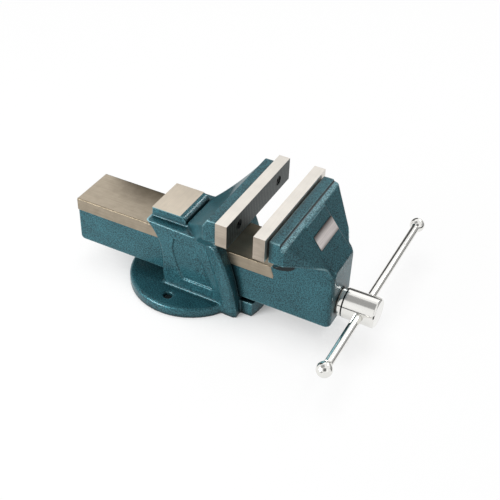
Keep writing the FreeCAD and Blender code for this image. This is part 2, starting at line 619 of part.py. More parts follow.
def spindle_head():
    """Polished head with the cross hole for the handle."""
    head = rod(HEAD_X, HEAD_FRONT_X, HEAD_DIAMETER)
    head = head.makeChamfer(HEAD_CHAMFER, edges_where(head, lambda p: p.x > HEAD_FRONT_X - 0.1))
    head = head.cut(rod(HEAD_X - MARGIN, HEAD_X + HEAD_SOCKET_DEPTH, SPINDLE_DIAMETER))
    hole = Part.makeCylinder(HANDLE_DIAMETER / 2 + HANDLE_CLEARANCE, 2 * HEAD_DIAMETER,
                             V(HANDLE_X, -HEAD_DIAMETER, SPINDLE_Z), V(0, 1, 0))
    return head.cut(hole).cut(head_pin())


def head_pin():
    """Pin that locks the head on the screw, driven in from below."""
    return post(HEAD_X + HEAD_PIN_OFFSET, 0, SPINDLE_Z - HEAD_DIAMETER / 2 + HEAD_PIN_RECESS,
                SPINDLE_Z + SPINDLE_DIAMETER / 2 - HEAD_PIN_END_GAP, HEAD_PIN_DIAMETER)


def thrust_washer():
    """Washer between the front wall of the jaw and the head."""
    return ring(THRUST_X, THRUST_WASHER_THICKNESS, THRUST_WASHER_DIAMETER, SPINDLE_DIAMETER)


def retainer_washer(x):
    """One of the two washers that hold the spring between them."""
    return ring(x, RETAINER_WASHER_THICKNESS, RETAINER_WASHER_DIAMETER, SPINDLE_DIAMETER)


def takeup_spring():
    """Coil spring that takes up the play of the spindle in the front wall."""
    radius = SPINDLE_DIAMETER / 2 + SPRING_CLEARANCE + SPRING_WIRE / 2
    pitch = (SPRING_LENGTH - SPRING_WIRE) / SPRING_TURNS
    helix = Part.makeHelix(pitch, pitch * SPRING_TURNS, radius)
    section = Part.Wire(Part.makeCircle(SPRING_WIRE / 2, V(radius, 0, 0), V(0, 1, 0)))
    spring = Part.Wire(helix.Edges).makePipeShell([section], True, True)
    spring.rotate(V(0, 0, 0), V(0, 1, 0), 90)
    spring.translate(V(SPRING_X + SPRING_WIRE / 2, 0, SPINDLE_Z))
    return spring


def retaining_pin():
    """Pin through the screw that holds the outer washer."""
    return post(COTTER_X, 0, SPINDLE_Z - COTTER_LENGTH / 2, SPINDLE_Z + COTTER_LENGTH / 2, COTTER_DIAMETER)


def nut_pin_places():
    """Places of the two pins that stop the nut from turning."""
    return [V(NUT_MIDDLE_X + side * NUT_PIN_SPACING / 2, 0, TUNNEL_FLOOR) for side in (-1, 1)]


def spindle_nut():
    """Nut block inside the hollow bar, with the stem that stands in the base."""
    nut = box(NUT_X, NUT_X + NUT_LENGTH, NUT_WIDTH / 2, TUNNEL_FLOOR, NUT_TOP)
    nut = nut.makeFillet(NUT_EDGE, edges_where(nut, lambda p: p.z > NUT_TOP - 0.1
                                               and abs(p.y) > NUT_WIDTH / 2 - 0.1))
    nut = nut.fuse(post(NUT_MIDDLE_X, 0, STEM_END_Z, TUNNEL_FLOOR, STEM_DIAMETER))
    nut = nut.cut(rod(NUT_X - MARGIN, NUT_X + NUT_LENGTH + MARGIN, SPINDLE_BORE))
    nut = nut.cut(post(NUT_MIDDLE_X, 0, STEM_END_Z - MARGIN, WELL_CEILING + NUT_BOLT_REACH + NUT_BOLT_END_GAP,
                       NUT_BOLT_DIAMETER))
    for place in nut_pin_places():
        nut = nut.cut(post(place.x, 0, TUNNEL_FLOOR - MARGIN, TUNNEL_FLOOR + NUT_PIN_GRIP, NUT_PIN_DIAMETER))
    return nut


def nut_pins():
    """The two locating pins of the nut."""
    return Part.makeCompound([
        post(place.x, 0, TUNNEL_FLOOR - NUT_PIN_DEPTH, TUNNEL_FLOOR + NUT_PIN_GRIP, NUT_PIN_DIAMETER)
        for place in nut_pin_places()])


def nut_washer():
    """Washer under the head of the nut's bolt."""
    washer = post(NUT_MIDDLE_X, 0, WELL_CEILING - NUT_WASHER_THICKNESS, WELL_CEILING, NUT_WASHER_DIAMETER)
    return washer.cut(post(NUT_MIDDLE_X, 0, 0, WELL_CEILING + MARGIN, NUT_BOLT_DIAMETER))


def nut_bolt():
    """Hexagon bolt that clamps the nut to the base from below."""
    seat = WELL_CEILING - NUT_WASHER_THICKNESS
    head = hexagon(V(NUT_MIDDLE_X, 0, seat), V(0, 0, -1), NUT_BOLT_HEAD, NUT_BOLT_HEAD_HEIGHT)
    return head.fuse(post(NUT_MIDDLE_X, 0, seat, WELL_CEILING + NUT_BOLT_REACH, NUT_BOLT_DIAMETER))


def ball_centre(side):
    """Centre of the handle's ball on one side (-1 or +1)."""
    return V(HANDLE_X, HANDLE_OFFSET + side * HANDLE_BALL_SPACING / 2, SPINDLE_Z)


def handle_bar():
    """Tommy bar with a spigot at each end."""
    reach = HANDLE_BALL_SPACING / 2 - BALL_DIAMETER / 2 + BALL_FLAT
    start = V(HANDLE_X, HANDLE_OFFSET - reach, SPINDLE_Z)
    bar = Part.makeCylinder(HANDLE_DIAMETER / 2, 2 * reach, start, V(0, 1, 0))
    spigot = Part.makeCylinder(BALL_SPIGOT_DIAMETER / 2, 2 * (reach + BALL_SPIGOT_LENGTH),
                               start - V(0, BALL_SPIGOT_LENGTH, 0), V(0, 1, 0))
    return bar.fuse(spigot)


def handle_ball(side):
    """Ball end of the handle, bored for the spigot."""
    centre = ball_centre(side)
    ball = Part.makeSphere(BALL_DIAMETER / 2, centre)
    return ball.cut(handle_bar())


def write_parts():
    """Writes one STEP file for each node."""
    shapes = {
        "static_body": static_body(),
        "static_jaw_plate": jaw_plate(STATIC_FACE_X, STATIC_BACK_X),
        "static_jaw_screws": jaw_screws(STATIC_FACE_X, STATIC_BACK_X),
        "spindle_nut": spindle_nut(),
        "nut_locating_pins": nut_pins(),
        "nut_washer": nut_washer(),
        "nut_bolt": nut_bolt(),
        "moving_jaw": moving_jaw(),
        "moving_jaw_plate": jaw_plate(MOVING_FACE_X, MOVING_BACK_X),
        "moving_jaw_screws": jaw_screws(MOVING_FACE_X, MOVING_BACK_X),
        "nameplate": nameplate(),
        "spindle_screw": spindle_screw(),
        "spindle_head": spindle_head(),
        "head_pin": head_pin(),
        "thrust_washer": thrust_washer(),
        "inner_spring_washer": retainer_washer(INNER_WASHER_X),
        "takeup_spring": takeup_spring(),
        "outer_spring_washer": retainer_washer(OUTER_WASHER_X),
        "retaining_pin": retaining_pin(),
        "handle_bar": handle_bar(),
        "handle_ball_near": handle_ball(-1),
        "handle_ball_far": handle_ball(1),
    }
    os.makedirs("parts", exist_ok=True)
    for name, shape in shapes.items():
        shape.exportStep("parts/" + name + ".step")
        print(name, len(shape.Solids), "solid(s)", round(shape.Volume / 1000, 2), "cm3", shape.isValid())


write_parts()
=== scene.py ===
"""Looks of a cast bench vise: rounded and painted castings with ground faces, serrated steel jaw
plates, a threaded spindle with a polished head, a sliding tommy bar, and a plain studio."""
import json
import math

import bmesh
import bpy
from mathutils import Matrix, Vector
from mathutils.kdtree import KDTree

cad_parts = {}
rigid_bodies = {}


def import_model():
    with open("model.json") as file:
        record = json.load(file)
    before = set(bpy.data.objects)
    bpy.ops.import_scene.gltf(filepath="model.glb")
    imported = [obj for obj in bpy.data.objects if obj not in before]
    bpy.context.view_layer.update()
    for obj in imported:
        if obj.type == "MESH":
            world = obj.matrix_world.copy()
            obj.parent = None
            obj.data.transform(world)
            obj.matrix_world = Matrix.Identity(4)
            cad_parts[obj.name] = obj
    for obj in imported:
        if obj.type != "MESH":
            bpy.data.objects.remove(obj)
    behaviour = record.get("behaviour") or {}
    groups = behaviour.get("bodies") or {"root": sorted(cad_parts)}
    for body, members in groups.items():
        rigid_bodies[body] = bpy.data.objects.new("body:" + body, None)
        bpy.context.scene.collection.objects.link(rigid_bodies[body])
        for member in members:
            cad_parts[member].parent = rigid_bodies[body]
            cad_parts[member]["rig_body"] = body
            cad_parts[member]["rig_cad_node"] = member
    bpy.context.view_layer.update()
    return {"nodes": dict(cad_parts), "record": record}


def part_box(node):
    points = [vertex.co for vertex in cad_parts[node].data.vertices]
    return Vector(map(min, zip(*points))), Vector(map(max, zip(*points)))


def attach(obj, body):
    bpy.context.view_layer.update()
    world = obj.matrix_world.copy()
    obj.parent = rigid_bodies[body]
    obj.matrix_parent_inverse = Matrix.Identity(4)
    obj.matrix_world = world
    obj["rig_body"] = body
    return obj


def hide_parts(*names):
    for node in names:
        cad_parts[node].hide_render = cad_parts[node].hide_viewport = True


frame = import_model()

bl_info = {
    "name": "Bench Vise",
    "version": (1, 0, 0),
    "blender": (4, 5, 0),
    "location": "3D View > Sidebar > Vise",
    "description": "Dresses the solids of a bench vise with finished pieces and materials",
    "category": "Object",
}

MM = 0.001
SLOT_OF = {row["node"]: row["material_slot"] for row in frame["record"]["subparts"]}
BODY_OF = {node: body for body, nodes in frame["record"]["behaviour"]["bodies"].items() for node in nodes}
NEAR = 0.1 * MM                  # how far off a place still counts as on it
LEDGE_STEP_X = 119.2 * MM        # the step in the ledges on top of the sliding jaw
MERGE_DISTANCE = 0.01 * MM
FLAT_ANGLE = math.radians(0.5)
SKIN = 0.6 * MM                  # size of the faces that soften relaxes
SKIN_FACES = 150000              # triangles that are left of them
CRISP_REACH = 0.6 * SKIN         # how close to a crisp edge a point is laid on it
SOFT_REACH = 2.5                 # how far a rounding is relaxed, in its widths
RELAX_STEPS = 1.3                # relaxing steps for a rounding as wide as the skin's faces
SHARP_ANGLE = math.radians(28)
SMOOTH_ANGLE = math.radians(40)
CREASE_ANGLE = math.radians(50)


def linear(hex_colour):
    """Linear colour of an sRGB hex value such as "2C5866"."""
    def channel(value):
        return value / 12.92 if value <= 0.04045 else ((value + 0.055) / 1.055) ** 2.4
    return tuple(channel(int(hex_colour[i:i + 2], 16) / 255) for i in (0, 2, 4))


# ---------------------------------------------------------------------------------------------
# Sizes and colours that a user may change


def length(name, description, default):
    """Length property in metres, with its default given in millimetres."""
    return bpy.props.FloatProperty(name=name, description=description, default=default * MM, min=0.0,
                                   subtype="DISTANCE", unit="LENGTH", precision=5)


def colour(name, description, hex_colour):
    """Colour property with a default given as an sRGB hex value."""
    return bpy.props.FloatVectorProperty(name=name, description=description, default=linear(hex_colour),
                                         min=0.0, max=1.0, size=3, subtype="COLOR")


class ViseSizes(bpy.types.PropertyGroup):
    """Sizes of the finish."""
    cast_round: length("Cast edges", "Rounding of the painted edges of the castings", 1.3)
    root_fillet: length("Root fillet", "Fillet where the walls meet the base flange", 5.0)
    flange_round: length("Flange edge", "Rounding of the upper edge of the base flange", 3.6)
    ground_round: length("Ground edges", "Break of the edges of the ground faces", 0.35)
    turned_round: length("Turned edges", "Break of the edges of the turned pieces", 0.3)
    tooth_pitch: length("Tooth pitch", "Distance between the teeth of the jaw plates", 3.2)
    tooth_depth: length("Tooth depth", "Depth of the teeth of the jaw plates", 0.8)
    thread_pitch: length("Thread pitch", "Pitch of the spindle's screw thread", 5.0)
    thread_depth: length("Thread depth", "Depth of the spindle's screw thread", 2.4)
    hammer_cell: length("Hammer mark", "Size of the marks in the hammered enamel", 1.7)


class ViseColours(bpy.types.PropertyGroup):
    """Colours of the finish."""
    enamel: colour("Enamel", "Hammered enamel of the castings", "386D77")
    enamel_deep: colour("Deep enamel", "Hammered enamel in its marks and hollows", "08262D")
    iron: colour("Ground iron", "Freshly ground face of the anvil", "CFC4B4")
    worn_iron: colour("Worn iron", "Sliding faces of the bar, rubbed and oiled", "AFA391")
    # painted shade: this dark colour is painted on the bar's top at its far side, on its bands and along
    # their rims; random blotches of it also vary the iron's tone
    oil_and_shade_iron: colour("Oiled iron", "Sliding faces where the oil has gathered", "6B6151")
    plate: colour("Jaw steel", "Ground faces of the jaw plates", "DDD8D0")
    sawn_plate: colour("Sawn steel", "Sawn ends of the jaw plates", "A0968A")
    # painted highlight: this pale colour is painted along the castings' edges and on a strip of the ledges
    painted_highlight_enamel: colour("Thin enamel", "Hammered enamel where it lies thin over the edges", "9CC6CD")
    # painted shade: this dark colour is painted into the inside corners of the castings
    painted_shade_enamel: colour("Thick enamel", "Hammered enamel in the inside corners", "041A1F")
    # painted shadow: this near-black colour is painted along the ledges' step and under the ends of the
    # wings
    painted_shadow_enamel: colour("Old oil", "Oil and dirt left on the enamel", "031013")
    black_oxide: colour("Blackened steel", "Blackened and oiled screws", "1B1C1D")
    spring: colour("Spring wire", "Drawn wire of the take-up spring", "74777A")
    raw_iron: colour("Raw iron", "Machined iron of the nut", "6F6C68")
    paper: colour("Paper", "White paper that the vise stands on", "FBFBFB")
    tooth: colour("Toothed steel", "Crests of the teeth of the jaw plates", "646C6A")
    tooth_root: colour("Tooth roots", "Oiled roots between the teeth", "0A1011")
    chrome: colour("Plating", "Polished plating of the head and the tommy bar", "ECEBE7")
    steel: colour("Turned steel", "Turned and drawn steel parts", "B4B0A8")
    aluminium: colour("Nameplate", "Brushed aluminium of the nameplate", "F2EAE7")
    # painted shade: this dark colour is painted along the nameplate's long edges as dark reflections
    painted_edge_shade: colour("Tarnish", "Dirt and tarnish along the edges of the nameplate", "3A2C28")


# ---------------------------------------------------------------------------------------------
# Modelling helpers


def only(piece):
    """Selects one piece and nothing else."""
    bpy.ops.object.select_all(action="DESELECT")
    piece.select_set(True)
    bpy.context.view_layer.objects.active = piece


def named(name):
    """Names the primitive that was just added and returns it."""
    piece = bpy.context.view_layer.objects.active
    piece.name = piece.data.name = name
    return piece


def finished_modifier(piece, kind, **settings):
    """Adds a modifier to a piece and applies it."""
    only(piece)
    modifier = piece.modifiers.new(kind.title(), kind)
    for name, value in settings.items():
        setattr(modifier, name, value)
    bpy.ops.object.modifier_apply(modifier=modifier.name)


def settle(piece):
    """Puts a piece's place and turn into its mesh, so that its object sits at the origin."""
    only(piece)
    bpy.ops.object.transform_apply(location=True, rotation=True, scale=True)


def edit_whole(piece):
    """Opens a piece in edit mode with everything selected."""
    only(piece)
    bpy.ops.object.mode_set(mode="EDIT")
    bpy.ops.mesh.select_all(action="SELECT")


def face_outwards(piece):
    """Merges doubles and turns every face of a closed mesh outwards."""
    edit_whole(piece)
    bpy.ops.mesh.remove_doubles(threshold=MERGE_DISTANCE)
    bpy.ops.mesh.normals_make_consistent(inside=False)
    bpy.ops.object.mode_set(mode="OBJECT")


def copy_of(node, name):
    """Merged copy of a CAD node's mesh, with its flat faces joined."""
    piece = frame["nodes"][node].copy()
    piece.data = frame["nodes"][node].data.copy()
    piece.name = piece.data.name = name
    piece.parent = None
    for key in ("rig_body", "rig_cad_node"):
        if key in piece:
            del piece[key]
    piece.data.materials.clear()
    bpy.context.scene.collection.objects.link(piece)
    only(piece)
    bpy.ops.mesh.customdata_custom_splitnormals_clear()
    edit_whole(piece)
    bpy.ops.mesh.remove_doubles(threshold=MERGE_DISTANCE)
    bpy.ops.mesh.dissolve_limited(angle_limit=FLAT_ANGLE)
    bpy.ops.object.mode_set(mode="OBJECT")
    return piece


def face_reach(face, edge):
    """How far a face reaches from one of its edges."""
    start = edge.verts[0].co
    along = (edge.verts[1].co - start).normalized()
    return max(((v.co - start) - (v.co - start).dot(along) * along).length for v in face.verts)


def round_edges(piece, width_at, segments=3):
    """Rounds the sharp edges of a piece. width_at gives the wanted width for an edge, and no
    rounding takes more than 0.4 of the faces beside it."""
    shape = bmesh.new()
    shape.from_mesh(piece.data)
    weight = shape.edges.layers.float.new("bevel_weight_edge")
    widths = {}
    for edge in shape.edges:
        if len(edge.link_faces) == 2 and edge.calc_face_angle() > SHARP_ANGLE:
            room = 0.4 * min(face_reach(face, edge) for face in edge.link_faces)
            widths[edge] = min(width_at(edge), room)
    widest = max(widths.values())
    for edge, width in widths.items():
        edge[weight] = width / widest
    shape.to_mesh(piece.data)
    shape.free()
    finished_modifier(piece, "BEVEL", width=widest, segments=segments, limit_method="WEIGHT",
                      use_clamp_overlap=False, harden_normals=False)


def soften(piece, width_at):
    """Rounds a casting as its sand mould would: an even skin of small faces over the whole shape is
    relaxed near the sharp edges, and laid back on the flat faces elsewhere. width_at gives the
    width of the rounding for an edge."""
    form = piece.copy()
    form.data = piece.data.copy()
    bpy.context.scene.collection.objects.link(form)
    shape = bmesh.new()
    shape.from_mesh(piece.data)
    lines = {}
    for edge in shape.edges:
        if len(edge.link_faces) == 2 and edge.calc_face_angle() > SHARP_ANGLE:
            start, end = (v.co.copy() for v in edge.verts)
            steps = max(1, math.ceil((end - start).length / SKIN))
            lines.setdefault(round(width_at(edge), 6), []).extend(
                (start.lerp(end, i / steps), (end - start).normalized()) for i in range(steps + 1))
    shape.free()
    finished_modifier(piece, "REMESH", mode="VOXEL", voxel_size=SKIN, adaptivity=0.0)
    flat = [1.0] * len(piece.data.vertices)
    crisp = {}
    for width, points in sorted(lines.items()):
        tree = KDTree(len(points))
        for i, (point, _) in enumerate(points):
            tree.insert(point, i)
        tree.balance()
        if width < SKIN:
            for vertex in piece.data.vertices:
                point, i, _ = tree.find(vertex.co)
                along = points[i][1]
                on_line = point + (vertex.co - point).dot(along) * along
                if (vertex.co - on_line).length < CRISP_REACH:
                    crisp[vertex.index] = on_line
            continue
        near = piece.vertex_groups.new(name="edges")
        for vertex in piece.data.vertices:
            distance = tree.find(vertex.co)[2]
            share = min(1.0, max(0.0, SOFT_REACH - distance / max(width, 1.2 * SKIN)))
            if share > 0:
                near.add([vertex.index], share, "REPLACE")
                flat[vertex.index] = min(flat[vertex.index], 1.0 - share)
        finished_modifier(piece, "SMOOTH", factor=0.5, vertex_group=near.name,
                          iterations=max(2, round(RELAX_STEPS * (width / SKIN) ** 2)))
        piece.vertex_groups.clear()
    flats = piece.vertex_groups.new(name="flats")
    for i, share in enumerate(flat):
        flats.add([i], share, "REPLACE")
    finished_modifier(piece, "SHRINKWRAP", target=form, wrap_method="NEAREST_SURFACEPOINT",
                      vertex_group=flats.name)
    piece.vertex_groups.clear()
    bpy.data.objects.remove(form)
    for i, on_line in crisp.items():
        piece.data.vertices[i].co = on_line
    finished_modifier(piece, "DECIMATE", decimate_type="COLLAPSE", use_collapse_triangulate=True,
                      ratio=min(1.0, SKIN_FACES / (2 * len(piece.data.polygons))))
    smooth(piece, CREASE_ANGLE)


def smooth(piece, angle=SMOOTH_ANGLE):
    """Smooth shading across soft edges, with the flat faces kept flat."""
    only(piece)
    bpy.ops.object.shade_smooth_by_angle(angle=angle)
    finished_modifier(piece, "WEIGHTED_NORMAL", keep_sharp=True, weight=80)


def dress(piece, node, *materials):
    """Gives a finished piece its materials, and lets it ride for a CAD node."""
    piece.data.materials.clear()
    for material in materials:
        piece.data.materials.append(material)
    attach(piece, BODY_OF[node])
    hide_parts(node)


def paint_faces(piece, index, test):
    """Gives the faces that pass a test another material slot."""
    for face in piece.data.polygons:
        if test(face.center, face.normal):
            face.material_index = index


def polyline(name, points):
    """Piece that holds only a line through the points."""
    mesh = bpy.data.meshes.new(name)
    mesh.from_pydata(points, [(i, i + 1) for i in range(len(points) - 1)], [])
    piece = bpy.data.objects.new(name, mesh)
    bpy.context.scene.collection.objects.link(piece)
    return piece


def turned(name, profile, centre_y, centre_z, steps=72):
    """Turned piece along X: the profile's (x, radius) points spun around an axis."""
    piece = polyline(name, [(x, centre_y, centre_z + radius) for x, radius in profile])
    edit_whole(piece)
    bpy.ops.mesh.spin(steps=steps, angle=2 * math.pi, center=(0, centre_y, centre_z), axis=(1, 0, 0))
    bpy.ops.object.mode_set(mode="OBJECT")
    face_outwards(piece)
    return piece


def lay_across(piece, place, side=1):
    """Turns a piece that was made along X to lie along Y at a place. side -1 turns it the other way."""
    piece.matrix_world = Matrix.Translation(place) @ Matrix.Rotation(side * math.pi / 2, 4, "Z")
    settle(piece)


def cut(piece, tool):
    """Cuts a tool's shape out of a piece and removes the tool."""
    finished_modifier(piece, "BOOLEAN", operation="DIFFERENCE", solver="EXACT", object=tool)
    bpy.data.objects.remove(tool)


# ---------------------------------------------------------------------------------------------
# Materials


def add(tree, kind, inputs=None, **settings):
    """Adds a node with its settings, and links or sets its inputs."""
    node = tree.nodes.new(kind)
    for name, value in settings.items():
        setattr(node, name, value)
    for socket, value in (inputs or {}).items():
        if isinstance(value, bpy.types.NodeSocket):
            tree.links.new(value, node.inputs[socket])
        else:
            node.inputs[socket].default_value = value
    return node


def material(name, **shader):
    """New material with a Principled shader, and its node tree, shader and object coordinates."""
    made = bpy.data.materials.get(name)
    if made:
        return made, None, None, None
    made = bpy.data.materials.new(name)
    made.use_nodes = True
    tree = made.node_tree
    principled = tree.nodes["Principled BSDF"]
    for socket, value in shader.items():
        principled.inputs[socket.replace("_", " ")].default_value = value
    place = add(tree, "ShaderNodeTexCoord")
    return made, tree, principled, place.outputs["Object"]


def mixed(tree, factor, low, high):
    """Colour between two colours, each given by its values or by a socket."""
    low, high = (end if isinstance(end, bpy.types.NodeSocket) else (*end, 1.0) for end in (low, high))
    return add(tree, "ShaderNodeMix", {0: factor, 6: low, 7: high}, data_type="RGBA").outputs[2]


def spread(tree, value, low, high, to_low=0.0, to_high=1.0):
    """Value mapped from one range to another."""
    return add(tree, "ShaderNodeMapRange", {"Value": value, "From Min": low, "From Max": high,
                                           "To Min": to_low, "To Max": to_high}).outputs["Result"]


def calculated(tree, operation, *values, **settings):
    """Result of a sum on values or sockets."""
    return add(tree, "ShaderNodeMath", dict(enumerate(values)), operation=operation, **settings).outputs[0]


def noise(tree, place, size, detail):
    """Noise whose features have about the given size."""
    return add(tree, "ShaderNodeTexNoise", {"Vector": place, "Scale": 1.0 / size,
                                            "Detail": detail}).outputs["Fac"]


def streaks(tree, place, lengths):
    """Noise drawn out to the given lengths along X, Y and Z."""
    drawn = add(tree, "ShaderNodeMapping", {"Vector": place, "Scale": [1.0 / size for size in lengths]})
    return noise(tree, drawn.outputs[0], 1.0, 3.0)


def dented(tree, height, strength, depth):
    """Normal of a surface that is dented by a height."""
    return add(tree, "ShaderNodeBump", {"Height": height, "Strength": strength,
                                        "Distance": depth}).outputs[0]


def hollows(tree, reach, **settings):
    """Openness of a place, lower where faces meet within reach of it."""
    return add(tree, "ShaderNodeAmbientOcclusion", {"Distance": reach}, samples=8, **settings).outputs["AO"]


def apply_finish(tree, principled, base, roughness, normal=None):
    """Links a finish's sockets to its shader."""
    tree.links.new(base, principled.inputs["Base Color"])
    tree.links.new(roughness, principled.inputs["Roughness"])
    if normal is not None:
        tree.links.new(normal, principled.inputs["Normal"])


def painted_highlight_strip(tree, axes, flakes):
    """How far the enamel is painted pale as a painted highlight: on the strip between the ledges' step and
    the wings.
    """
    strip_start = spread(tree, axes["X"], LEDGE_STEP_X, LEDGE_STEP_X + MM, 0.0, 0.32)
    strip_end = spread(tree, axes["X"], LEDGE_STEP_X + 6 * MM, LEDGE_STEP_X + 4 * MM)
    strip = calculated(tree, "MULTIPLY", strip_start, strip_end)
    strip = calculated(tree, "MULTIPLY", strip, spread(tree, axes["Z"], 117 * MM, 119 * MM))
    return calculated(tree, "MULTIPLY", strip, spread(tree, flakes, 0.4, 0.6, 0.3, 1.5))


def painted_shadows(tree, axes):
    """How far painted shadow darkens the enamel: in a line along the ledges' step, and in a round
    patch under the end of each wing, on the sides of the bar, where the wing's shadow falls."""
    from_step = calculated(tree, "ABSOLUTE", calculated(tree, "SUBTRACT", axes["X"], LEDGE_STEP_X))
    line = calculated(tree, "MULTIPLY", spread(tree, from_step, 0.9 * MM, 0.4 * MM),
                      spread(tree, axes["Z"], 121.5 * MM, 122 * MM))
    along = calculated(tree, "POWER", spread(tree, axes["X"], 87 * MM, 131 * MM, -2.0, 2.0), 2.0)
    slanted = calculated(tree, "MULTIPLY_ADD", axes["X"], -0.28, axes["Z"])
    below = calculated(tree, "POWER", spread(tree, slanted, 35 * MM, 51 * MM, -2.0, 2.0), 2.0)
    from_middle = calculated(tree, "ADD", along, below)
    on_sides = spread(tree, calculated(tree, "ABSOLUTE", axes["Y"]), 23 * MM, 24 * MM)
    patch = calculated(tree, "MULTIPLY", spread(tree, from_middle, 1.2, 0.9), on_sides)
    return calculated(tree, "MAXIMUM", patch, line)


def hammertone_enamel():
    """Hammered stoving enamel, sprayed: leafed aluminium powder in a teal gloss that draws
    together in small cells, so it glitters finely and its highlights break up. Its edges are
    painted pale as painted highlights, and its inside corners painted dark as painted shade."""
    sizes, colours = bpy.context.scene.vise_sizes, bpy.context.scene.vise_colours
    made, tree, principled, place = material("hammertone_enamel", Metallic=0.5, Roughness=0.40,
                                             Specular_IOR_Level=0.2, Coat_Weight=0.3, Coat_Roughness=0.12)
    if tree is None:
        return made
    axes = add(tree, "ShaderNodeSeparateXYZ", {"Vector": place}).outputs
    marks = add(tree, "ShaderNodeTexVoronoi", {"Vector": place, "Scale": 1.0 / sizes.hammer_cell,
                                               "Smoothness": 0.6}, feature="SMOOTH_F1").outputs["Distance"]
    # aluminium flakes, drawn near 1 mm so that they show
    flakes = noise(tree, place, 1.1 * MM, 1.0)
    cloud = noise(tree, place, 30 * MM, 2.0)
    speckle = calculated(tree, "ADD", spread(tree, flakes, 0.38, 0.62, 0.0, 0.7),
                         spread(tree, marks, 0.1, 0.6, 0.0, 0.15))
    shade = calculated(tree, "ADD", speckle, spread(tree, cloud, 0.38, 0.62, 0.0, 0.14), use_clamp=True)
    coat = mixed(tree, shade, colours.enamel_deep, colours.enamel)
    # painted highlight: the convex edges are painted pale
    edge = hollows(tree, 2.2 * MM, inside=True)
    coat = mixed(tree, spread(tree, edge, 0.85, 0.55, 0.0, 0.75), coat, colours.painted_highlight_enamel)
    # painted shade: the inside corners are painted dark
    corner = hollows(tree, 7 * MM, only_local=False)
    coat = mixed(tree, spread(tree, corner, 0.92, 0.5, 0.0, 0.95), coat, colours.painted_shade_enamel)
    # painted highlight on the strip of the ledges
    coat = mixed(tree, painted_highlight_strip(tree, axes, flakes), coat, colours.painted_highlight_enamel)
    # painted shadows along the ledges' step and under the wings' ends
    coat = mixed(tree, painted_shadows(tree, axes), coat, colours.painted_shadow_enamel)
    apply_finish(tree, principled, coat, spread(tree, flakes, 0.3, 0.7, 0.34, 0.5),
                 dented(tree, marks, 0.5, 0.3 * MM))
    return made


def brushed_metal(name, base, roughness, grain, stretch, bump=0.15, contrast=0.16):
    """Bare metal with fine straight marks along one axis. grain is the distance between the
    marks in metres, stretch their length along X, Y and Z in grains, and contrast their shade."""
    made, tree, principled, place = material(name, Metallic=1.0, Roughness=roughness)
    if tree is None:
        return made
    marks = streaks(tree, place, [grain * share for share in stretch])
    blotch = noise(tree, place, 14 * MM, 2.0)
    shade = calculated(tree, "ADD", spread(tree, marks, 0.3, 0.7), spread(tree, blotch, 0.3, 0.7))
    light = [min(1.0, channel * (1 + contrast)) for channel in base]
    dark = [channel * (1 - contrast) for channel in base]
    apply_finish(tree, principled, mixed(tree, spread(tree, shade, 0.3, 1.7), dark, light),
                 spread(tree, marks, 0.3, 0.7, roughness - 0.05, roughness + 0.08),
                 dented(tree, marks, bump, 0.05 * MM))
    return made


def ground_iron():
    """Grey cast iron, freshly surface ground across the anvil: pale and warm, with a dull gloss."""
    return brushed_metal("ground_cast_iron", bpy.context.scene.vise_colours.iron, 0.38,
                         0.8 * MM, (1, 30, 1), contrast=0.08)


def sliding_iron():
    """Grey cast iron, ground along the bar and rubbed by the slide: warm grey with lengthwise
    marks, with painted shade on the far side towards the anvil, on the bands and along their rims."""
    colours = bpy.context.scene.vise_colours
    made, tree, principled, place = material("oiled_and_shaded_cast_iron", Metallic=0.9, Roughness=0.36)
    if tree is None:
        return made
    marks = streaks(tree, place, (24 * MM, 0.8 * MM, 0.8 * MM))
    blotch = noise(tree, place, 9 * MM, 3.0)
    axes = add(tree, "ShaderNodeSeparateXYZ", {"Vector": place}).outputs
    # painted shade: the bar's top is painted darker towards the far side and towards the anvil
    painted_far_shade = calculated(tree, "MULTIPLY", spread(tree, axes["Y"], -8 * MM, 24 * MM),
                      spread(tree, axes["X"], -112 * MM, -66 * MM))
    top = spread(tree, axes["Z"], 69.5 * MM, 70.1 * MM)
    oil = calculated(tree, "MULTIPLY", painted_far_shade, top)
    # the bands are painted darker than the top as painted shade, and a line of painted shade runs along
    # their rims
    band_shade = spread(tree, top, 0, 1, 0.4, 0.05)
    beside = spread(tree, calculated(tree, "ABSOLUTE", axes["Y"]), 24.2 * MM, 24.4 * MM)
    rim = calculated(tree, "MULTIPLY", beside, spread(tree, axes["Z"], 69.2 * MM, 69.6 * MM))
    band_shade = calculated(tree, "MAXIMUM", band_shade, rim)
    # all the painted shade of the bar: its top, its bands and their rims
    oil = calculated(tree, "MAXIMUM", oil, band_shade)
    uneven = calculated(tree, "ADD", oil, spread(tree, blotch, 0.3, 0.7, -0.12, 0.12), use_clamp=True)
    clean = mixed(tree, spread(tree, marks, 0.35, 0.65), [channel * 0.84 for channel in colours.worn_iron],
                  colours.worn_iron)
    apply_finish(tree, principled, mixed(tree, uneven, clean, colours.oil_and_shade_iron),
                 spread(tree, marks, 0.3, 0.7, 0.30, 0.44), dented(tree, marks, 0.15, 0.05 * MM))
    return made


def jaw_steel():
    """Hardened tool steel, surface ground across the jaws: nearly white, with a soft gloss."""
    return brushed_metal("ground_tool_steel", bpy.context.scene.vise_colours.plate, 0.36,
                         0.9 * MM, (1, 22, 1), contrast=0.06)


def sawn_steel():
    """Tool steel left as the saw cut it at the plate's ends: duller and browner than when ground."""
    return brushed_metal("sawn_tool_steel", bpy.context.scene.vise_colours.sawn_plate, 0.46,
                         0.9 * MM, (12, 1, 1), bump=0.3)


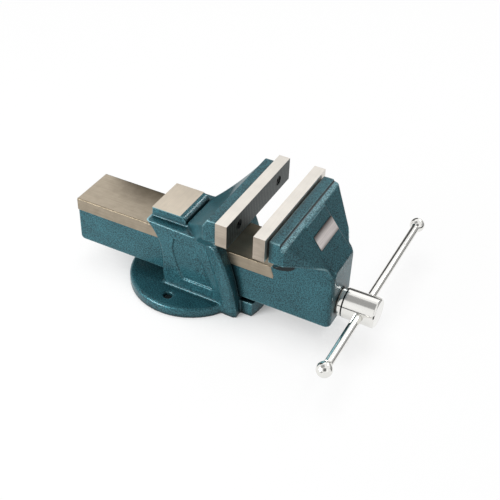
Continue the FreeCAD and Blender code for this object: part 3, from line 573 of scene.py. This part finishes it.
def tooth_steel():
    """Milled teeth of hardened steel, oiled by the quench: grey crests over near-black roots."""
    sizes, colours = bpy.context.scene.vise_sizes, bpy.context.scene.vise_colours
    made, tree, principled, place = material("oil_quenched_steel", Metallic=0.8, Roughness=0.42)
    if tree is None:
        return made
    across = add(tree, "ShaderNodeSeparateXYZ", {"Vector": place}).outputs["Y"]
    turn = calculated(tree, "MULTIPLY", across, math.pi / sizes.tooth_pitch)
    crest = calculated(tree, "ABSOLUTE", calculated(tree, "SINE", turn))
    grain = noise(tree, place, 1.3 * MM, 2.0)
    shade = calculated(tree, "MULTIPLY", crest, spread(tree, grain, 0.3, 0.7, 0.25, 1.0))
    apply_finish(tree, principled, mixed(tree, shade, colours.tooth_root, colours.tooth),
                 spread(tree, grain, 0.3, 0.7, 0.36, 0.5))
    return made


def polished_plating():
    """Bright chrome plating over polished steel: mirror gloss, hardly marked, with a faint haze."""
    base = bpy.context.scene.vise_colours.chrome
    made, tree, principled, place = material("polished_chrome_plating", Metallic=1.0, Roughness=0.13)
    if tree is None:
        return made
    haze = noise(tree, place, 30 * MM, 2.0)
    dull = [channel * 0.95 for channel in base]
    apply_finish(tree, principled, mixed(tree, spread(tree, haze, 0.3, 0.7), dull, base),
                 spread(tree, haze, 0.3, 0.7, 0.11, 0.15))
    return made


def turned_steel():
    """Drawn and turned mild steel: clean grey with fine marks around the axis."""
    return brushed_metal("turned_mild_steel", bpy.context.scene.vise_colours.steel, 0.30,
                         0.8 * MM, (1, 20, 20))


def black_screw_steel():
    """Alloy screw steel, blackened and oiled: near black with a low satin gloss."""
    return brushed_metal("black_oxide_steel", bpy.context.scene.vise_colours.black_oxide, 0.38,
                         0.8 * MM, (1, 1, 1))


def spring_wire():
    """Patented spring wire, drawn and left dark: grey-blue and fairly bright."""
    return brushed_metal("drawn_spring_wire", bpy.context.scene.vise_colours.spring, 0.34,
                         0.8 * MM, (1, 4, 4))


def raw_iron():
    """Malleable cast iron, machined but not painted: dark grey with a dry grain."""
    return brushed_metal("machined_malleable_iron", bpy.context.scene.vise_colours.raw_iron, 0.52,
                         1.4 * MM, (4, 1, 1), bump=0.3)


def brushed_aluminium():
    """Anodised aluminium sheet, brushed across the jaw: pale satin with fine streaks, and painted
    dark brown along its two long edges as painted dark reflections."""
    colours = bpy.context.scene.vise_colours
    low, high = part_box("nameplate")
    made, tree, principled, place = material("brushed_aluminium_sheet", Metallic=1.0, Roughness=0.34)
    if tree is None:
        return made
    brushed = streaks(tree, place, (0.5 * MM, 20 * MM, 0.5 * MM))
    height = add(tree, "ShaderNodeSeparateXYZ", {"Vector": place}).outputs["Z"]
    rise = spread(tree, height, low.z, high.z)
    # painted shade: the upper and lower edges are painted dark as reflections
    upper = spread(tree, rise, 0.62, 1.0, 0.0, 0.95)
    lower = spread(tree, rise, 0.22, 0.0, 0.0, 0.8)
    clean = mixed(tree, spread(tree, brushed, 0.35, 0.65), [channel * 0.8 for channel in colours.aluminium],
                  colours.aluminium)
    apply_finish(tree, principled, mixed(tree, calculated(tree, "MAXIMUM", upper, lower), clean,
                                         colours.painted_edge_shade), spread(tree, brushed, 0.3, 0.7, 0.28, 0.42))
    return made


# ---------------------------------------------------------------------------------------------
# Pieces


class VISE_OT_static_body(bpy.types.Operator):
    """Fixed casting with its rounded painted edges and its ground anvil"""
    bl_idname = "vise.static_body"
    bl_label = "Fixed casting"

    def execute(self, context):
        sizes = context.scene.vise_sizes
        seat_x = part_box("static_jaw_plate")[0].x
        anvil_z = 89.5 * MM
        anvil_front_x = 10 * MM
        jaw_foot_z = 95 * MM
        flange_z = 11.0 * MM
        tunnel_half = 25.5 * MM
        tunnel_top_z = 71 * MM

        def width_at(edge):
            middle = (edge.verts[0].co + edge.verts[1].co) / 2
            if middle.z > anvil_z - NEAR and middle.x < anvil_front_x:
                return sizes.ground_round
            if abs(middle.x - seat_x) < NEAR and middle.z > jaw_foot_z:
                return 0.5 * sizes.cast_round
            if abs(abs(middle.y) - tunnel_half) < 2 * NEAR and middle.z < tunnel_top_z:
                return 0.4 * sizes.cast_round
            if abs(middle.z - flange_z) < 2 * NEAR:
                return sizes.flange_round if edge.is_convex else sizes.root_fillet
            return sizes.cast_round

        body = copy_of("static_body", "static_casting")
        soften(body, width_at)
        dress(body, "static_body", hammertone_enamel(), ground_iron())
        paint_faces(body, 1, lambda p, n: p.z > anvil_z - NEAR / 2 and n.z > 0.99 and p.x < anvil_front_x)
        return {"FINISHED"}


class VISE_OT_moving_jaw(bpy.types.Operator):
    """Sliding casting with its ground bar and guide bands"""
    bl_idname = "vise.moving_jaw"
    bl_label = "Sliding casting"

    def execute(self, context):
        sizes = context.scene.vise_sizes
        bar_top = 70.2 * MM
        band_foot = 57.1 * MM
        painted_half = 24.35 * MM
        heel_x = 97.6 * MM
        ledge_z = 122 * MM

        def width_at(edge):
            middle = (edge.verts[0].co + edge.verts[1].co) / 2
            if band_foot - NEAR < middle.z < bar_top + NEAR and middle.x < heel_x + 4 * MM:
                return sizes.ground_round
            return 0.5 * sizes.cast_round if middle.z > ledge_z else sizes.cast_round

        jaw = copy_of("moving_jaw", "sliding_casting")
        soften(jaw, width_at)
        dress(jaw, "moving_jaw", hammertone_enamel(), sliding_iron())
        paint_faces(jaw, 1, lambda p, n: p.x < heel_x + (2 * MM if p.z < bar_top - 1 * MM else 0)
                    and p.z > band_foot - NEAR
                    and (abs(p.y) > painted_half + NEAR or p.z > bar_top - 0.7 * MM))
        return {"FINISHED"}


class VISE_OT_jaw_plates(bpy.types.Operator):
    """Two jaw plates with milled teeth and countersunk screws"""
    bl_idname = "vise.jaw_plates"
    bl_label = "Jaw plates"
    SINK = 1.0 * MM
    CONE = 2.0 * MM
    DRILLED = 14 * MM

    def screw_sizes(self, screws):
        """Radius of the screws' heads, and their distance from the middle of the jaw."""
        low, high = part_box(screws)
        head = (high.z - low.z) / 2
        return head, (high.y - low.y) / 2 - head

    def toothed_plate(self, context, node, screws, face_x, back_x):
        """Plate with teeth on its gripping face and two countersunk holes."""
        sizes = context.scene.vise_sizes
        low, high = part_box(node)
        head, spacing = self.screw_sizes(screws)
        hole = head - self.CONE
        inward = 1.0 if back_x > face_x else -1.0
        rows = max(2, 2 * round((high.z - low.z) / sizes.tooth_pitch))
        columns = max(2, 2 * round((high.y - low.y) / sizes.tooth_pitch))
        bpy.ops.object.select_all(action="DESELECT")
        bpy.ops.mesh.primitive_grid_add(
            x_subdivisions=rows, y_subdivisions=columns, size=1.0, rotation=(0, math.pi / 2, 0),
            location=(face_x + inward * sizes.tooth_depth, 0, (low.z + high.z) / 2))
        plate = named(node.replace("_plate", "_serrated_plate"))
        plate.scale = (high.z - low.z, high.y - low.y, 1.0)
        settle(plate)
        shape = bmesh.new()
        shape.from_mesh(plate.data)
        for vertex in shape.verts:
            row = round((vertex.co.z - low.z) / (high.z - low.z) * rows)
            column = round((vertex.co.y - low.y) / (high.y - low.y) * columns)
            vertex.select_set(bool(column % 2 and 0 < row < rows))
        shape.select_flush_mode()
        shape.to_mesh(plate.data)
        shape.free()
        only(plate)
        bpy.ops.object.mode_set(mode="EDIT")
        bpy.ops.mesh.select_mode(type="VERT")
        bpy.ops.transform.translate(value=(-inward * sizes.tooth_depth, 0, 0))
        bpy.ops.mesh.select_all(action="SELECT")
        bpy.ops.mesh.region_to_loop()
        bpy.ops.mesh.extrude_edges_move(
            TRANSFORM_OT_translate={"value": (back_x - face_x - inward * sizes.tooth_depth, 0, 0)})
        bpy.ops.mesh.edge_face_add()
        bpy.ops.mesh.select_all(action="SELECT")
        bpy.ops.mesh.normals_make_consistent(inside=False)
        bpy.ops.object.mode_set(mode="OBJECT")
        for y in (-spacing, spacing):
            # countersink as in the solid: straight, then 90 degrees down to the hole
            depth, end = self.SINK, self.DRILLED
            profile = [(-depth, 0.0), (-depth, head), (depth, head), (depth + self.CONE, hole),
                       (end, hole), (end, 0.0)]
            sink = turned("sink", [(face_x + inward * x, radius) for x, radius in profile], y,
                          (low.z + high.z) / 2, 40)
            cut(plate, sink)
        return plate

    def execute(self, context):
        sawn_y = 45 * MM
        toothed_depth = 6 * MM
        sink_radius = 5 * MM
        for side in ("static", "moving"):
            node, screws = side + "_jaw_plate", side + "_jaw_screws"
            low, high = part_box(node)
            face_x, back_x = (high.x, low.x) if side == "static" else (low.x, high.x)
            plate = self.toothed_plate(context, node, screws, face_x, back_x)
            face_outwards(plate)
            dress(plate, node, jaw_steel(), tooth_steel(), sawn_steel())
            paint_faces(plate, 2, lambda p, n: abs(n.y) > 0.9 and abs(p.y) > sawn_y)
            paint_faces(plate, 1, lambda p, n: abs(p.x - face_x) < toothed_depth and abs(n.x) > 0.2
                        and abs(p.y) < high.y - 2 * NEAR)
            hole_y = self.screw_sizes(screws)[1]
            paint_faces(plate, 1, lambda p, n: abs(n.x) < 0.95 and math.hypot(
                abs(p.y) - hole_y, p.z - (low.z + high.z) / 2) < sink_radius)
            screw = copy_of(screws, screws.replace("jaw", "plate"))
            round_edges(screw, lambda edge: 0.25 * MM, segments=2)
            smooth(screw)
            dress(screw, screws, black_screw_steel())
        return {"FINISHED"}


class VISE_OT_spindle(bpy.types.Operator):
    """Threaded spindle with its polished head"""
    bl_idname = "vise.spindle"
    bl_label = "Spindle"

    def execute(self, context):
        sizes = context.scene.vise_sizes
        low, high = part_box("spindle_screw")
        axis_z = (low.z + high.z) / 2
        radius = (high.z - low.z) / 2
        thread_end = 132 * MM
        pitch, depth = sizes.thread_pitch, sizes.thread_depth
        # one pitch of a trapezoidal thread, swept as a helix by the Screw modifier
        crest, flank, root = 0.37 * pitch, 0.13 * pitch, radius - depth
        screw = polyline("lead_screw", [
            (root, 0.0, 0.0), (root, 0.0, pitch - crest - 2 * flank), (radius, 0.0, pitch - crest - flank),
            (radius, 0.0, pitch - flank), (root, 0.0, pitch)])
        turns = math.ceil((thread_end - low.x) / pitch) + 3
        finished_modifier(screw, "SCREW", axis="Z", angle=2 * math.pi, screw_offset=pitch, steps=32,
                          render_steps=32, iterations=turns, use_merge_vertices=True,
                          merge_threshold=MERGE_DISTANCE, use_smooth_shade=False)
        screw.rotation_euler = (0, math.pi / 2, 0)
        screw.location = (low.x - pitch, 0, axis_z)
        settle(screw)
        edit_whole(screw)
        bpy.ops.mesh.remove_doubles(threshold=MERGE_DISTANCE)
        bpy.ops.mesh.bisect(plane_co=(low.x, 0, axis_z), plane_no=(1, 0, 0), use_fill=True,
                            clear_inner=True)
        bpy.ops.mesh.select_all(action="SELECT")
        bpy.ops.mesh.bisect(plane_co=(thread_end, 0, axis_z), plane_no=(1, 0, 0), use_fill=True,
                            clear_outer=True)
        bpy.ops.mesh.select_all(action="SELECT")
        bpy.ops.mesh.normals_make_consistent(inside=False)
        bpy.ops.object.mode_set(mode="OBJECT")
        plain_x = thread_end - 2 * MM
        plain = turned("plain_end", [(plain_x, 0.0), (plain_x, root), (plain_x + depth, radius),
                                     (high.x, radius), (high.x, 0.0)], 0.0, axis_z)
        bpy.ops.object.select_all(action="DESELECT")
        plain.select_set(True)
        screw.select_set(True)
        bpy.context.view_layer.objects.active = screw
        bpy.ops.object.join()
        smooth(screw, math.radians(32))
        dress(screw, "spindle_screw", turned_steel())

        head_low, head_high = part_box("spindle_head")
        head_radius = (head_high.z - head_low.z) / 2
        groove_x = head_low.x + 3.4 * MM
        chamfer = 1.4 * MM
        softened = 0.15 * MM
        edge = sizes.turned_round
        collar_radius = head_radius - 0.6 * MM
        groove_radius = head_radius - 2.2 * MM
        groove_end = groove_x + 1.3 * MM
        bore_end = head_low.x + 12 * MM
        head = turned("polished_head", [
            (head_low.x, radius), (head_low.x, collar_radius - edge), (head_low.x + edge, collar_radius),
            (groove_x, collar_radius), (groove_x, groove_radius), (groove_end, groove_radius),
            (groove_end, head_radius - edge), (groove_end + edge, head_radius),
            (head_high.x - chamfer - edge, head_radius), (head_high.x - chamfer, head_radius - softened),
            (head_high.x - softened, head_radius - chamfer), (head_high.x, head_radius - chamfer - edge),
            (head_high.x, 0.0), (bore_end, 0.0), (bore_end, radius), (head_low.x, radius)], 0.0, axis_z, 96)
        bar_low, bar_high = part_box("handle_bar")
        hole = Vector(((bar_low.x + bar_high.x) / 2, 0, axis_z))
        clearance = 0.09 * MM
        hole_radius = (bar_high.x - bar_low.x) / 2 + clearance
        reach = head_radius + 2 * MM
        sink = 0.4 * MM
        mouth_radius = hole_radius + sink + 2 * MM
        drill = turned("drill", [
            (-reach, 0.0), (-reach, mouth_radius), (-head_radius + sink, hole_radius),
            (head_radius - sink, hole_radius), (reach, mouth_radius), (reach, 0.0)], 0.0, 0.0, 64)
        lay_across(drill, hole)
        cut(head, drill)
        smooth(head, math.radians(30))
        dress(head, "spindle_head", polished_plating(), black_screw_steel())
        # painted shade: the groove behind the head is painted with blackened steel, where the plating
        # hardly reaches
        paint_faces(head, 1, lambda p, n: groove_x - NEAR < p.x < groove_end + NEAR
                    and radius + MM < math.hypot(p.y, p.z - axis_z) < head_radius - 0.8 * MM)
        return {"FINISHED"}


class VISE_OT_handle(bpy.types.Operator):
    """Tommy bar with a ball at each end"""
    bl_idname = "vise.handle"
    bl_label = "Tommy bar"

    def execute(self, context):
        low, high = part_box("handle_bar")
        centre = (low + high) / 2
        radius = (high.x - low.x) / 2
        near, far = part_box("handle_ball_near"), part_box("handle_ball_far")
        shoulder = [near[1].y, far[0].y]
        edge = 0.5 * MM
        spigot = 3.0 * MM
        seat_depth = 8 * MM
        bore_reach = 9 * MM
        bar = turned("tommy_bar", [
            (low.y, 0.0), (low.y, spigot), (shoulder[0], spigot), (shoulder[0], radius - edge),
            (shoulder[0] + edge, radius), (shoulder[1] - edge, radius), (shoulder[1], radius - edge),
            (shoulder[1], spigot), (high.y, spigot), (high.y, 0.0)], 0.0, 0.0, 64)
        lay_across(bar, (centre.x, 0, centre.z))
        smooth(bar)
        dress(bar, "handle_bar", polished_plating())
        for node, (ball_low, ball_high), flat_side in (
                ("handle_ball_near", near, 1), ("handle_ball_far", far, -1)):
            middle = (ball_low + ball_high) / 2
            ball_radius = (ball_high.x - ball_low.x) / 2
            sphere_y = ball_low.y + ball_radius if flat_side > 0 else ball_high.y - ball_radius
            flat_y = ball_high.y if flat_side > 0 else ball_low.y
            bpy.ops.object.select_all(action="DESELECT")
            bpy.ops.mesh.primitive_uv_sphere_add(segments=64, ring_count=32, radius=ball_radius,
                                                 location=(middle.x, sphere_y, middle.z),
                                                 rotation=(math.pi / 2, 0, 0))
            ball = named(node.replace("handle", "tommy"))
            settle(ball)
            edit_whole(ball)
            bpy.ops.mesh.bisect(plane_co=(0, flat_y, 0), plane_no=(0, flat_side, 0), use_fill=True,
                                clear_outer=True)
            bpy.ops.object.mode_set(mode="OBJECT")
            # seat of the bar's end, bored as in the solid
            bore = turned("bore", [(-seat_depth, 0.0), (-seat_depth, spigot), (bore_reach, spigot),
                                   (bore_reach, 0.0)], 0.0, 0.0, 48)
            lay_across(bore, (middle.x, flat_y, middle.z), flat_side)
            cut(ball, bore)
            round_edges(ball, lambda edge: 0.3 * MM, segments=2)
            smooth(ball)
            dress(ball, node, polished_plating())
        return {"FINISHED"}


class VISE_OT_nameplate(bpy.types.Operator):
    """Bare curved nameplate with rounded corners"""
    bl_idname = "vise.nameplate"
    bl_label = "Nameplate"

    def execute(self, context):
        plate = copy_of("nameplate", "bare_nameplate")
        round_edges(plate, lambda edge: 0.25 * MM, segments=2)
        smooth(plate)
        dress(plate, "nameplate", brushed_aluminium())
        return {"FINISHED"}


class VISE_OT_small_parts(bpy.types.Operator):
    """Nut, washers, spring, pins and bolt with broken edges"""
    bl_idname = "vise.small_parts"
    bl_label = "Small parts"

    def execute(self, context):
        finishes = {"nut_iron": raw_iron, "bright_steel": turned_steel, "spring_steel": spring_wire}
        for node in ("spindle_nut", "nut_locating_pins", "nut_washer", "nut_bolt", "head_pin",
                     "thrust_washer", "inner_spring_washer", "takeup_spring", "outer_spring_washer",
                     "retaining_pin"):
            piece = copy_of(node, "finished_" + node)
            round_edges(piece, lambda edge: context.scene.vise_sizes.turned_round, segments=2)
            smooth(piece)
            dress(piece, node, finishes[SLOT_OF[node]]())
        return {"FINISHED"}


class VISE_OT_stage(bpy.types.Operator):
    """Pale floor, soft studio light and the camera"""
    bl_idname = "vise.stage"
    bl_label = "Studio"

    def facing(self, place, target, front):
        """Place and turn of something whose front axis points at a target."""
        turn = (Vector(target) - Vector(place)).to_track_quat(front, "Y")
        return Matrix.Translation(place) @ turn.to_matrix().to_4x4()

    def softbox(self, name, place, target, size, power):
        """Square area light that faces a target and that no camera sees."""
        light = bpy.data.lights.new(name, "AREA")
        light.size = size
        light.energy = power
        lamp = bpy.data.objects.new(name, light)
        lamp.matrix_world = self.facing(place, target, "-Z")
        lamp.visible_camera = False
        bpy.context.scene.collection.objects.link(lamp)
        return lamp

    def flag(self, name, place, target, width, height, grey):
        """Studio flag: a dark card that faces a target and that only reflections see."""
        bpy.ops.object.select_all(action="DESELECT")
        bpy.ops.mesh.primitive_grid_add(x_subdivisions=2, y_subdivisions=2, size=1.0)
        card = named(name)
        card.matrix_world = self.facing(place, target, "Z") @ Matrix.Diagonal((width, height, 1, 1))
        settle(card)
        felt, tree = material(name + "_felt", Roughness=1.0)[:2]
        glow = add(tree, "ShaderNodeEmission", {"Color": (grey, grey, grey, 1), "Strength": 1.0})
        tree.links.new(glow.outputs[0], tree.nodes["Material Output"].inputs["Surface"])
        card.data.materials.append(felt)
        for kind in ("camera", "diffuse", "transmission", "volume_scatter", "shadow"):
            setattr(card, "visible_" + kind, False)

    def seen_directly(self, tree):
        """1 for camera, mirror and glass rays, and 0 for the rays that light the object."""
        path = add(tree, "ShaderNodeLightPath").outputs
        either = calculated(tree, "ADD", path["Is Camera Ray"], path["Is Glossy Ray"])
        return calculated(tree, "ADD", either, path["Is Transmission Ray"], use_clamp=True)

    def background(self, context):
        """World that is white where it is seen, and dim where it lights the object."""
        world = bpy.data.worlds.new("studio")
        context.scene.world = world
        world.use_nodes = True
        tree = world.node_tree
        sky = tree.nodes["Background"]
        sky.inputs["Color"].default_value = (1, 1, 1, 1)
        tree.links.new(spread(tree, self.seen_directly(tree), 0, 1, 0.15, 1.0), sky.inputs["Strength"])

    def floor(self, context):
        """White paper that keeps only the contact shadow."""
        bpy.ops.object.select_all(action="DESELECT")
        bpy.ops.mesh.primitive_grid_add(x_subdivisions=4, y_subdivisions=4, size=8.0,
                                        location=(0, 0, -0.2 * MM))
        floor = named("floor")
        paper, tree, principled, _ = material(
            "white_paper_sweep", Base_Color=(*context.scene.vise_colours.paper, 1.0), Roughness=0.9,
            Specular_IOR_Level=0.0)
        glow = add(tree, "ShaderNodeEmission", {"Color": (1, 1, 1, 1), "Strength": 1.0})
        # the contact shadow stays where the object shuts out the light
        seen = calculated(tree, "MULTIPLY", self.seen_directly(tree), hollows(tree, 45 * MM))
        share = calculated(tree, "MULTIPLY", seen, 0.95)
        mix = add(tree, "ShaderNodeMixShader", {0: share, 1: principled.outputs[0], 2: glow.outputs[0]})
        tree.links.new(mix.outputs[0], tree.nodes["Material Output"].inputs["Surface"])
        floor.data.materials.append(paper)

    def lights(self):
        """Softboxes with their widths and watts, and flags with their widths, heights and greys."""
        middle = (0.05, 0, 0.05)
        self.softbox("key", (-0.5, -0.85, 0.36), middle, 0.5, 12.5)
        self.softbox("rim", (0.49, 0.85, 0.78), middle, 0.2, 2.2)
        # a scrim overhead is too wide and dim to show in the bright metal
        self.softbox("scrim", (-0.2, 0.3, 1.2), middle, 0.9, 10.0).visible_glossy = False
        self.softbox("back", (-0.45, 1.0, 0.95), middle, 1.1, 1.0)
        self.softbox("fill", (1.1, -0.7, 0.6), middle, 0.8, 0.3)
        head = (0.178, 0, 0.037)
        self.flag("overhead_flag", (-0.37, -0.35, 1.5), head, 1.2, 1.3, 0.4)
        self.flag("bar_flag", (-0.11, 0.13, 0.08), (-0.07, 0, 0.07), 0.1, 0.16, 0.05)
        self.flag("left_flag", (-0.02, 0.36, 0.1), (0.18, 0.08, 0.04), 0.3, 0.3, 0.1)
        self.flag("right_flag", (0.56, 0.39, 0.13), (0.178, 0, 0.08), 0.7, 0.26, 0.45)
        self.flag("handle_flag", (0.28, 0.15, 0.015), (0.18, 0.15, 0.03), 0.4, 0.03, 0.03)
        self.flag("near_flag", (0.05, -0.42, 0.03), head, 0.3, 0.06, 0.05)
        self.flag("front_flag", (0.55, -0.77, 0.72), head, 0.8, 0.8, 0.2)

    def camera(self, context):
        """Camera on an arm from the point it turns around, shifted to the right and up."""
        centre = Vector((0.1017, 0, 0.08))
        distance, shift_right, shift_up = 0.85054, -0.03496, -0.00473
        tilt, turn, roll = math.radians(38.47), math.radians(26.04), math.radians(2.36)
        back = Vector((math.sin(turn) * math.cos(tilt), -math.cos(turn) * math.cos(tilt), math.sin(tilt)))
        level = Vector((math.cos(turn), math.sin(turn), 0))
        rise = back.cross(level)
        right = math.cos(roll) * level + math.sin(roll) * rise
        up = math.cos(roll) * rise - math.sin(roll) * level
        lens = bpy.data.cameras.new("camera")
        lens.sensor_width = 36.0
        lens.lens = 66.88
        camera = bpy.data.objects.new("camera", lens)
        pose = Matrix((right, up, back)).transposed().to_4x4()
        pose.translation = centre + distance * back + shift_right * right + shift_up * up
        camera.matrix_world = pose
        context.scene.collection.objects.link(camera)
        context.scene.camera = camera

    def execute(self, context):
        self.background(context)
        self.floor(context)
        self.lights()
        self.camera(context)
        context.scene.view_settings.view_transform = "Standard"
        return {"FINISHED"}


class VISE_PT_panel(bpy.types.Panel):
    """Sizes, colours and pieces of the vise"""
    bl_idname = "VISE_PT_panel"
    bl_label = "Bench Vise"
    bl_space_type = "VIEW_3D"
    bl_region_type = "UI"
    bl_category = "Vise"

    def draw(self, context):
        for group in (context.scene.vise_sizes, context.scene.vise_colours):
            column = self.layout.column()
            for name in group.__annotations__:
                column.prop(group, name)
        for operator in OPERATORS:
            self.layout.operator(operator.bl_idname)


OPERATORS = (VISE_OT_static_body, VISE_OT_moving_jaw, VISE_OT_jaw_plates, VISE_OT_spindle, VISE_OT_handle,
             VISE_OT_nameplate, VISE_OT_small_parts, VISE_OT_stage)
CLASSES = (ViseSizes, ViseColours, *OPERATORS, VISE_PT_panel)


def register():
    """Registers the classes and hangs the sizes and colours on the scene."""
    for item in CLASSES:
        bpy.utils.register_class(item)
    bpy.types.Scene.vise_sizes = bpy.props.PointerProperty(type=ViseSizes)
    bpy.types.Scene.vise_colours = bpy.props.PointerProperty(type=ViseColours)


def unregister():
    """Takes off what register put on."""
    del bpy.types.Scene.vise_colours
    del bpy.types.Scene.vise_sizes
    for item in reversed(CLASSES):
        bpy.utils.unregister_class(item)


def main():
    """Makes every piece in order."""
    register()
    bpy.ops.vise.static_body()
    bpy.ops.vise.moving_jaw()
    bpy.ops.vise.jaw_plates()
    bpy.ops.vise.spindle()
    bpy.ops.vise.handle()
    bpy.ops.vise.nameplate()
    bpy.ops.vise.small_parts()
    bpy.ops.vise.stage()


if __name__ == "__main__":
    main()
